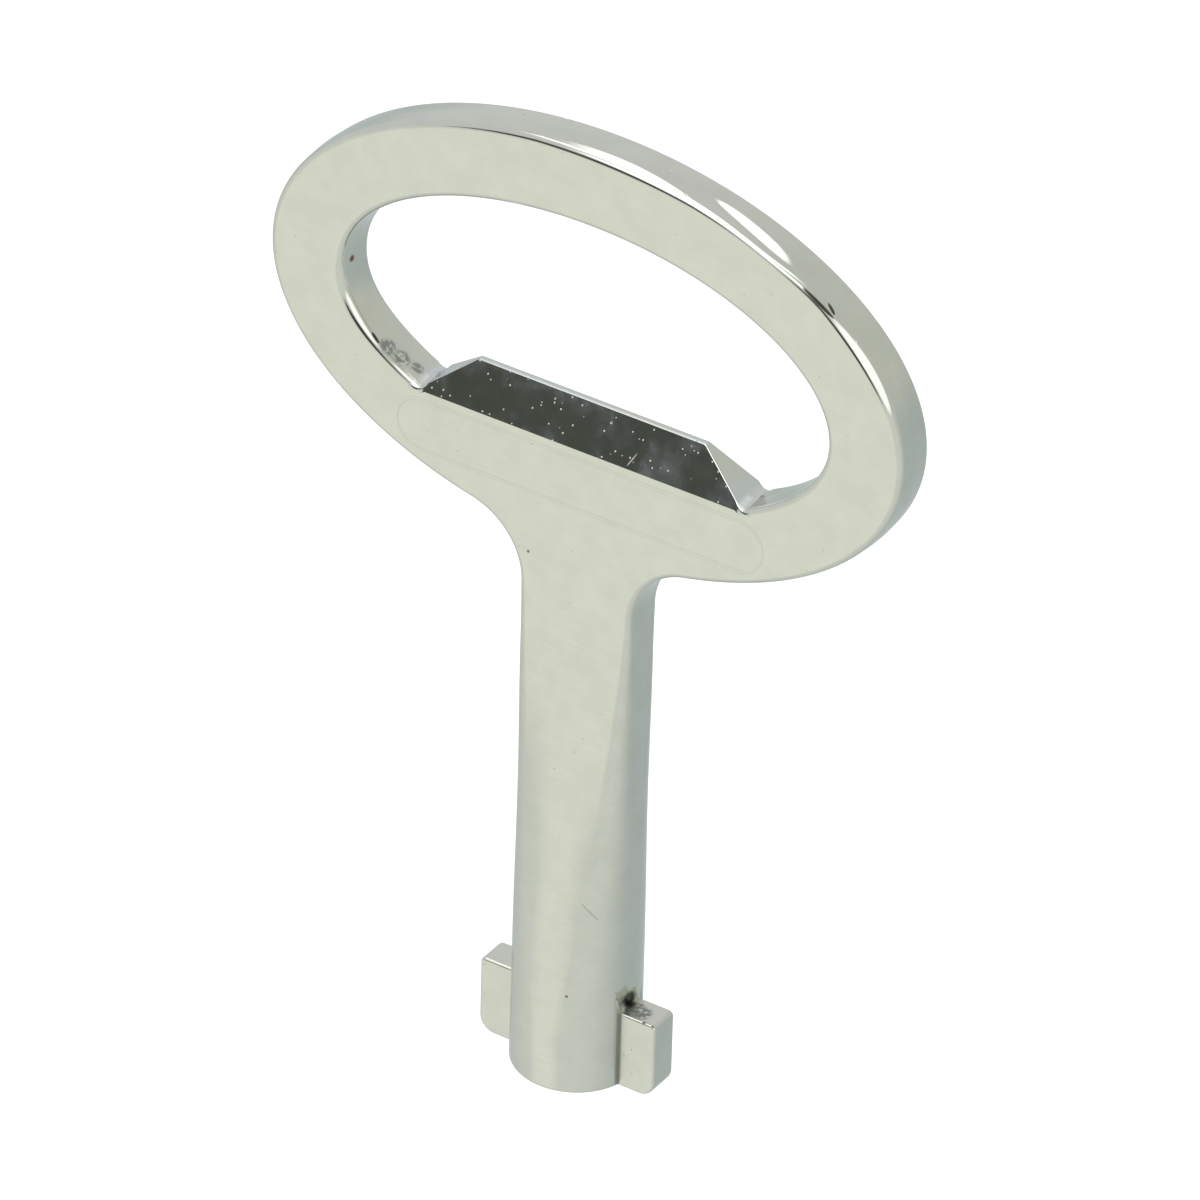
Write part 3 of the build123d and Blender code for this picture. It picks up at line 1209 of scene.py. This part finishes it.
# Soft lamps, bright paper and dark cards of the studio, by the direction that they lie in:
# (direction, radius in degrees, soft edge in degrees, colour)
AREAS = [
    ((-0.343, -0.760, -0.552), 13.0, 24.0, (1.02, 1.03, 0.94)),
    ((-0.45, -0.87, 0.20), 14.0, 6.0, (0.088, 0.092, 0.083)),
    ((0.10, -0.99, 0.05), 14.0, 4.0, (0.06, 0.06, 0.062)),
    ((-0.10, -0.62, 0.78), 22.0, 8.0, (2.4, 2.4, 2.35)),
    ((0.02, 0.08, 1.0), 20.0, 6.0, (1.8, 1.8, 1.8)),
    ((-0.35, 0.09, 0.93), 18.0, 4.0, (1.8, 1.8, 1.8)),
    ((0.66, -0.66, 0.36), 20.0, 8.0, (1.6, 1.6, 1.6)),
]
FLOOR_NEAR = (0.87, 0.88, 0.835, 1.0)
FLOOR_FAR = (0.545, 0.60, 0.60, 1.0)
FLOOR_NEAR_SIDE = (-0.09, -1.0, 0.0)
WALL_LEFT = (0.79, 0.79, 0.80, 1.0)
WALL_RIGHT = (0.70, 0.71, 0.66, 1.0)
# Where each pair of tones blends, as cosines from the direction of the second one
FLOOR_BLEND = (-0.8, 0.75)
WALL_BLEND = (-0.5, 0.6)
HORIZON_BLEND = (-0.20, 0.25)


def make_world():
    """Studio surroundings by direction: floor, walls, soft lamps and dark cards."""
    world = bpy.data.worlds.new("studio")
    bpy.context.scene.world = world
    world.use_nodes = True
    nodes = Nodes(world.node_tree)
    direction = nodes.add("ShaderNodeTexCoord").outputs["Generated"]

    def along(axis):
        node = nodes.add("ShaderNodeVectorMath", operation="DOT_PRODUCT")
        nodes.put(direction, node.inputs[0])
        node.inputs[1].default_value = Vector(axis).normalized()
        return node.outputs["Value"]

    floor = nodes.mix(nodes.ramp(along(FLOOR_NEAR_SIDE), *FLOOR_BLEND), FLOOR_FAR, FLOOR_NEAR)
    wall = nodes.mix(nodes.ramp(along(X_AXIS), *WALL_BLEND), WALL_LEFT, WALL_RIGHT)
    colour = nodes.mix(nodes.ramp(along(Z_AXIS), *HORIZON_BLEND), floor, wall)
    for axis, radius, soft, tone in AREAS:
        edge = math.cos(math.radians(radius + soft / 2))
        core = math.cos(math.radians(max(radius - soft / 2, 0)))
        colour = nodes.mix(nodes.ramp(along(axis), edge, core), colour, (*tone, 1.0))

    background = nodes.add("ShaderNodeBackground")
    nodes.put(colour, background.inputs["Color"])
    background.inputs["Strength"].default_value = 1.0
    output = nodes.add("ShaderNodeOutputWorld")
    nodes.put(background.outputs[0], output.inputs["Surface"])


# Camera: turned to the right of the front and above it, a long lens far away. Angles in
# degrees, distances and the lens in millimetres
VIEW_AZIMUTH = 32.768
VIEW_ELEVATION = 33.537
VIEW_ROLL = -1.652
VIEW_DISTANCE = 757.7
VIEW_AIM_RIGHT = 1.691
VIEW_AIM_UP = 30.958
LENS = 334.4


def make_camera():
    """Camera aimed above the key's foot, and rolled a little."""
    azimuth = math.radians(VIEW_AZIMUTH)
    elevation = math.radians(VIEW_ELEVATION)
    roll = math.radians(VIEW_ROLL)
    level_right = Vector((math.cos(azimuth), math.sin(azimuth), 0))
    back = Vector(
        (
            math.sin(azimuth) * math.cos(elevation),
            -math.cos(azimuth) * math.cos(elevation),
            math.sin(elevation),
        )
    )
    level_up = back.cross(level_right)
    right = level_right * math.cos(roll) - level_up * math.sin(roll)
    up = level_right * math.sin(roll) + level_up * math.cos(roll)
    place = (right * VIEW_AIM_RIGHT + up * VIEW_AIM_UP + back * VIEW_DISTANCE) * MM
    data = bpy.data.cameras.new("camera")
    data.lens = LENS
    data.clip_start = 0.01
    data.clip_end = 50.0
    camera = bpy.data.objects.new("camera", data)
    bpy.context.scene.collection.objects.link(camera)
    turn = Matrix((right, up, back)).transposed()
    camera.matrix_world = Matrix.Translation(place) @ turn.to_4x4()
    bpy.context.scene.camera = camera


# ---------------------------------------------------------------- the whole key

make_camera()
make_world()
make_studio()
bpy.context.scene.view_settings.view_transform = "Standard"

opening, seam = half_opening()
bit_finish = {"pits": 0.0, "nodules": 0.04, "dullness": 0.24}
pieces = {
    "bow": (make_bow(opening, seam), chrome("chrome_bow")),
    "thumb_ridge": (
        make_ridge(opening, seam),
        chrome("chrome_ridge", haze=0.10, pits=0.04, nodules=0.16),
    ),
    "shank": (make_shank(), chrome("chrome_shank", pits=0.002, brushing=0.08)),
    "right_bit": (make_bit("right_bit_lug", 1), chrome("chrome_right_bit", **bit_finish)),
    "left_bit": (make_bit("left_bit_lug", -1), chrome("chrome_left_bit", **bit_finish)),
}
for node, (piece, material) in pieces.items():
    piece.data.materials.append(material)
    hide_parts(node)
    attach(piece, "root")
